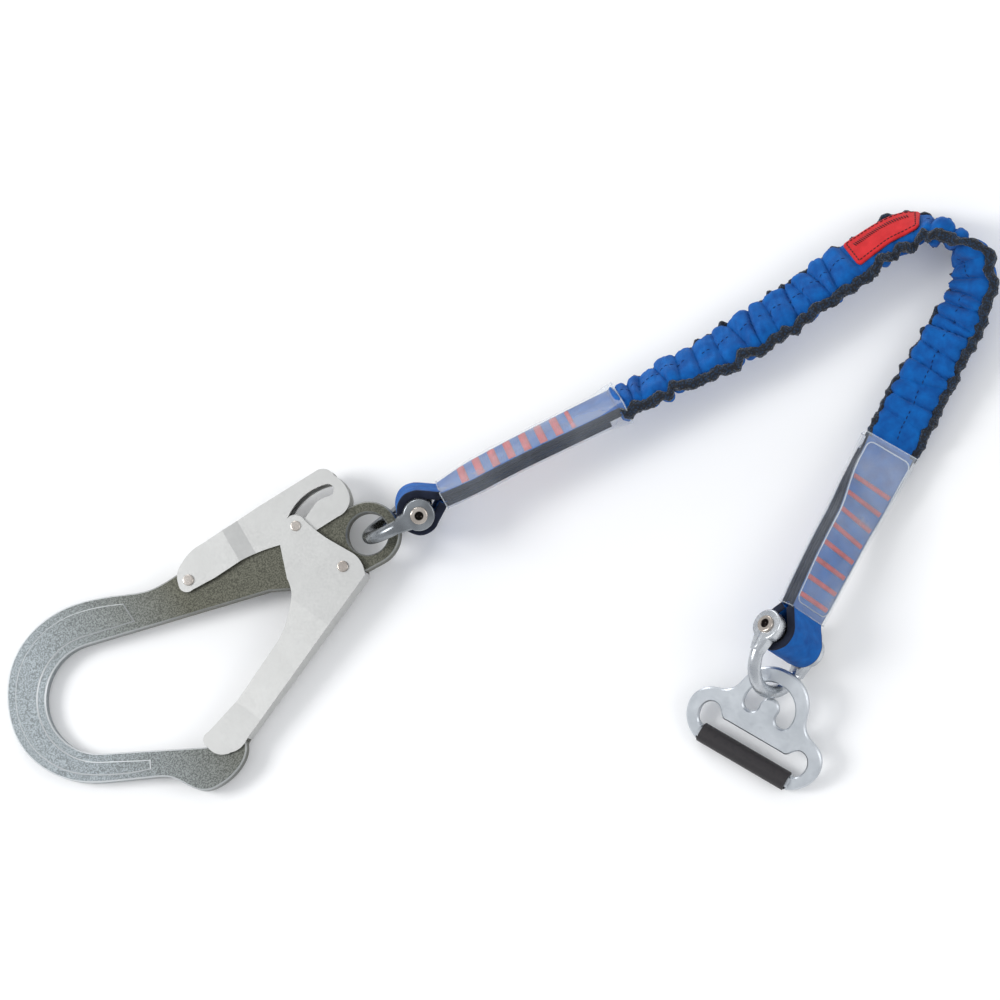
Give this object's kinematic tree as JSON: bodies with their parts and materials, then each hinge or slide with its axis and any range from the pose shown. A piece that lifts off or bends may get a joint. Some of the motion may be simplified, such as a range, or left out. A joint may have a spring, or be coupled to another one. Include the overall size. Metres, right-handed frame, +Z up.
{
  "type": "shock absorbing lanyard",
  "caption": "Stretch lanyard with an energy-absorbing strap, a large scaffold hook with gate and safety lever, D-shackles, and a slotted harness plate with a roller.",
  "frame": {"origin": "centre of the metal fittings' bounding box, on the surface the lanyard lies on", "axes": "+X from the hook's bow to its eye, +Z up off the surface, +Y to the left of +X"},
  "size_m": [0.6005, 0.298, 0.0501],
  "materials": {
    "hook_coating": "speckled grey coating",
    "sheet_zinc": "satin zinc",
    "rivet_steel": "satin",
    "spring_steel": "bright",
    "shackle_dark": "polished dark zinc",
    "shackle_zinc": "bright zinc",
    "plate_zinc": "satin zinc",
    "roller_rubber": "matte ribbed",
    "bush_plastic": "matte",
    "blue_webbing": "woven",
    "navy_elastic": "knitted",
    "core_webbing": "woven",
    "red_thread": "bar tack",
    "red_label": "matte",
    "dark_thread": "stitching",
    "clear_vinyl": "clear soft vinyl"
  },
  "bodies": {
    "strap": {"bush_1": "bush_plastic", "loop_1": "blue_webbing", "sewn_strap_1": "blue_webbing", "stitch_bars_1": "red_thread", "sleeve_1": "clear_vinyl", "absorber_core": "core_webbing", "elastic_cover": "blue_webbing", "edge_elastic_1": "navy_elastic", "edge_elastic_2": "navy_elastic", "label": "red_label", "label_stitching": "dark_thread", "sewn_strap_2": "blue_webbing", "stitch_bars_2": "red_thread", "sleeve_2": "clear_vinyl", "loop_2": "blue_webbing", "bush_2": "bush_plastic"},
    "shackle_link_1": {"shackle_1": "shackle_dark", "shackle_1_pin": "rivet_steel"},
    "hook": {"hook_body": "hook_coating", "gate_rivet": "rivet_steel", "lever_rivet": "rivet_steel", "gate_spring": "spring_steel", "lever_spring": "spring_steel"},
    "gate": {"gate": "sheet_zinc", "lock_pin": "rivet_steel"},
    "lever": {"safety_lever": "sheet_zinc"},
    "shackle_link_2": {"shackle_2": "shackle_zinc", "shackle_2_pin": "rivet_steel"},
    "plate": {"harness_plate": "plate_zinc"},
    "roller": {"roller": "roller_rubber"}
  },
  "joints": [
    {"name": "shackle_1_swing", "type": "hinge", "parent": "strap", "child": "shackle_link_1", "pos_m": [0.0524, 0.09095, 0.0253], "axis": [-0.0065, -0.3583, 0.9336], "range_deg": [-30, 30]},
    {"name": "hook_swing", "type": "hinge", "parent": "shackle_link_1", "child": "hook", "pos_m": [0.02166, 0.09435, 0.01654], "axis": [-0.0523, 0, 0.9986], "range_deg": [-25, 25]},
    {"name": "gate_open", "type": "hinge", "parent": "hook", "child": "gate", "pos_m": [0.00109, 0.08505, 0.01546], "axis": [0.0523, 0, -0.9986], "range_deg": [0, 36], "stiffness_Nm_per_rad": 0.06},
    {"name": "lever_press", "type": "hinge", "parent": "hook", "child": "lever", "pos_m": [-0.0773, 0.12435, 0.01135], "axis": [0.0523, 0, -0.9986], "range_deg": [0, 6.12]},
    {"name": "shackle_2_swing", "type": "hinge", "parent": "strap", "child": "shackle_link_2", "pos_m": [0.1911, -0.07705, 0.025], "axis": [-0.2729, 0.4207, 0.8652], "range_deg": [-25, 25]},
    {"name": "plate_swivel", "type": "hinge", "parent": "shackle_link_2", "child": "plate", "pos_m": [0.16268, -0.10293, 0.01499], "axis": [-0.2708, -0.1489, 0.9511], "range_deg": [-25, 25]},
    {"name": "roller_spin", "type": "hinge", "parent": "plate", "child": "roller", "pos_m": [0.1371, -0.11699, 0.0055], "axis": [0.4818, -0.8763, 0], "continuous": true}
  ],
  "couplings": [
    {"joint": "lever_press", "follows": "gate_open", "ratio": 0.17}
  ]
}
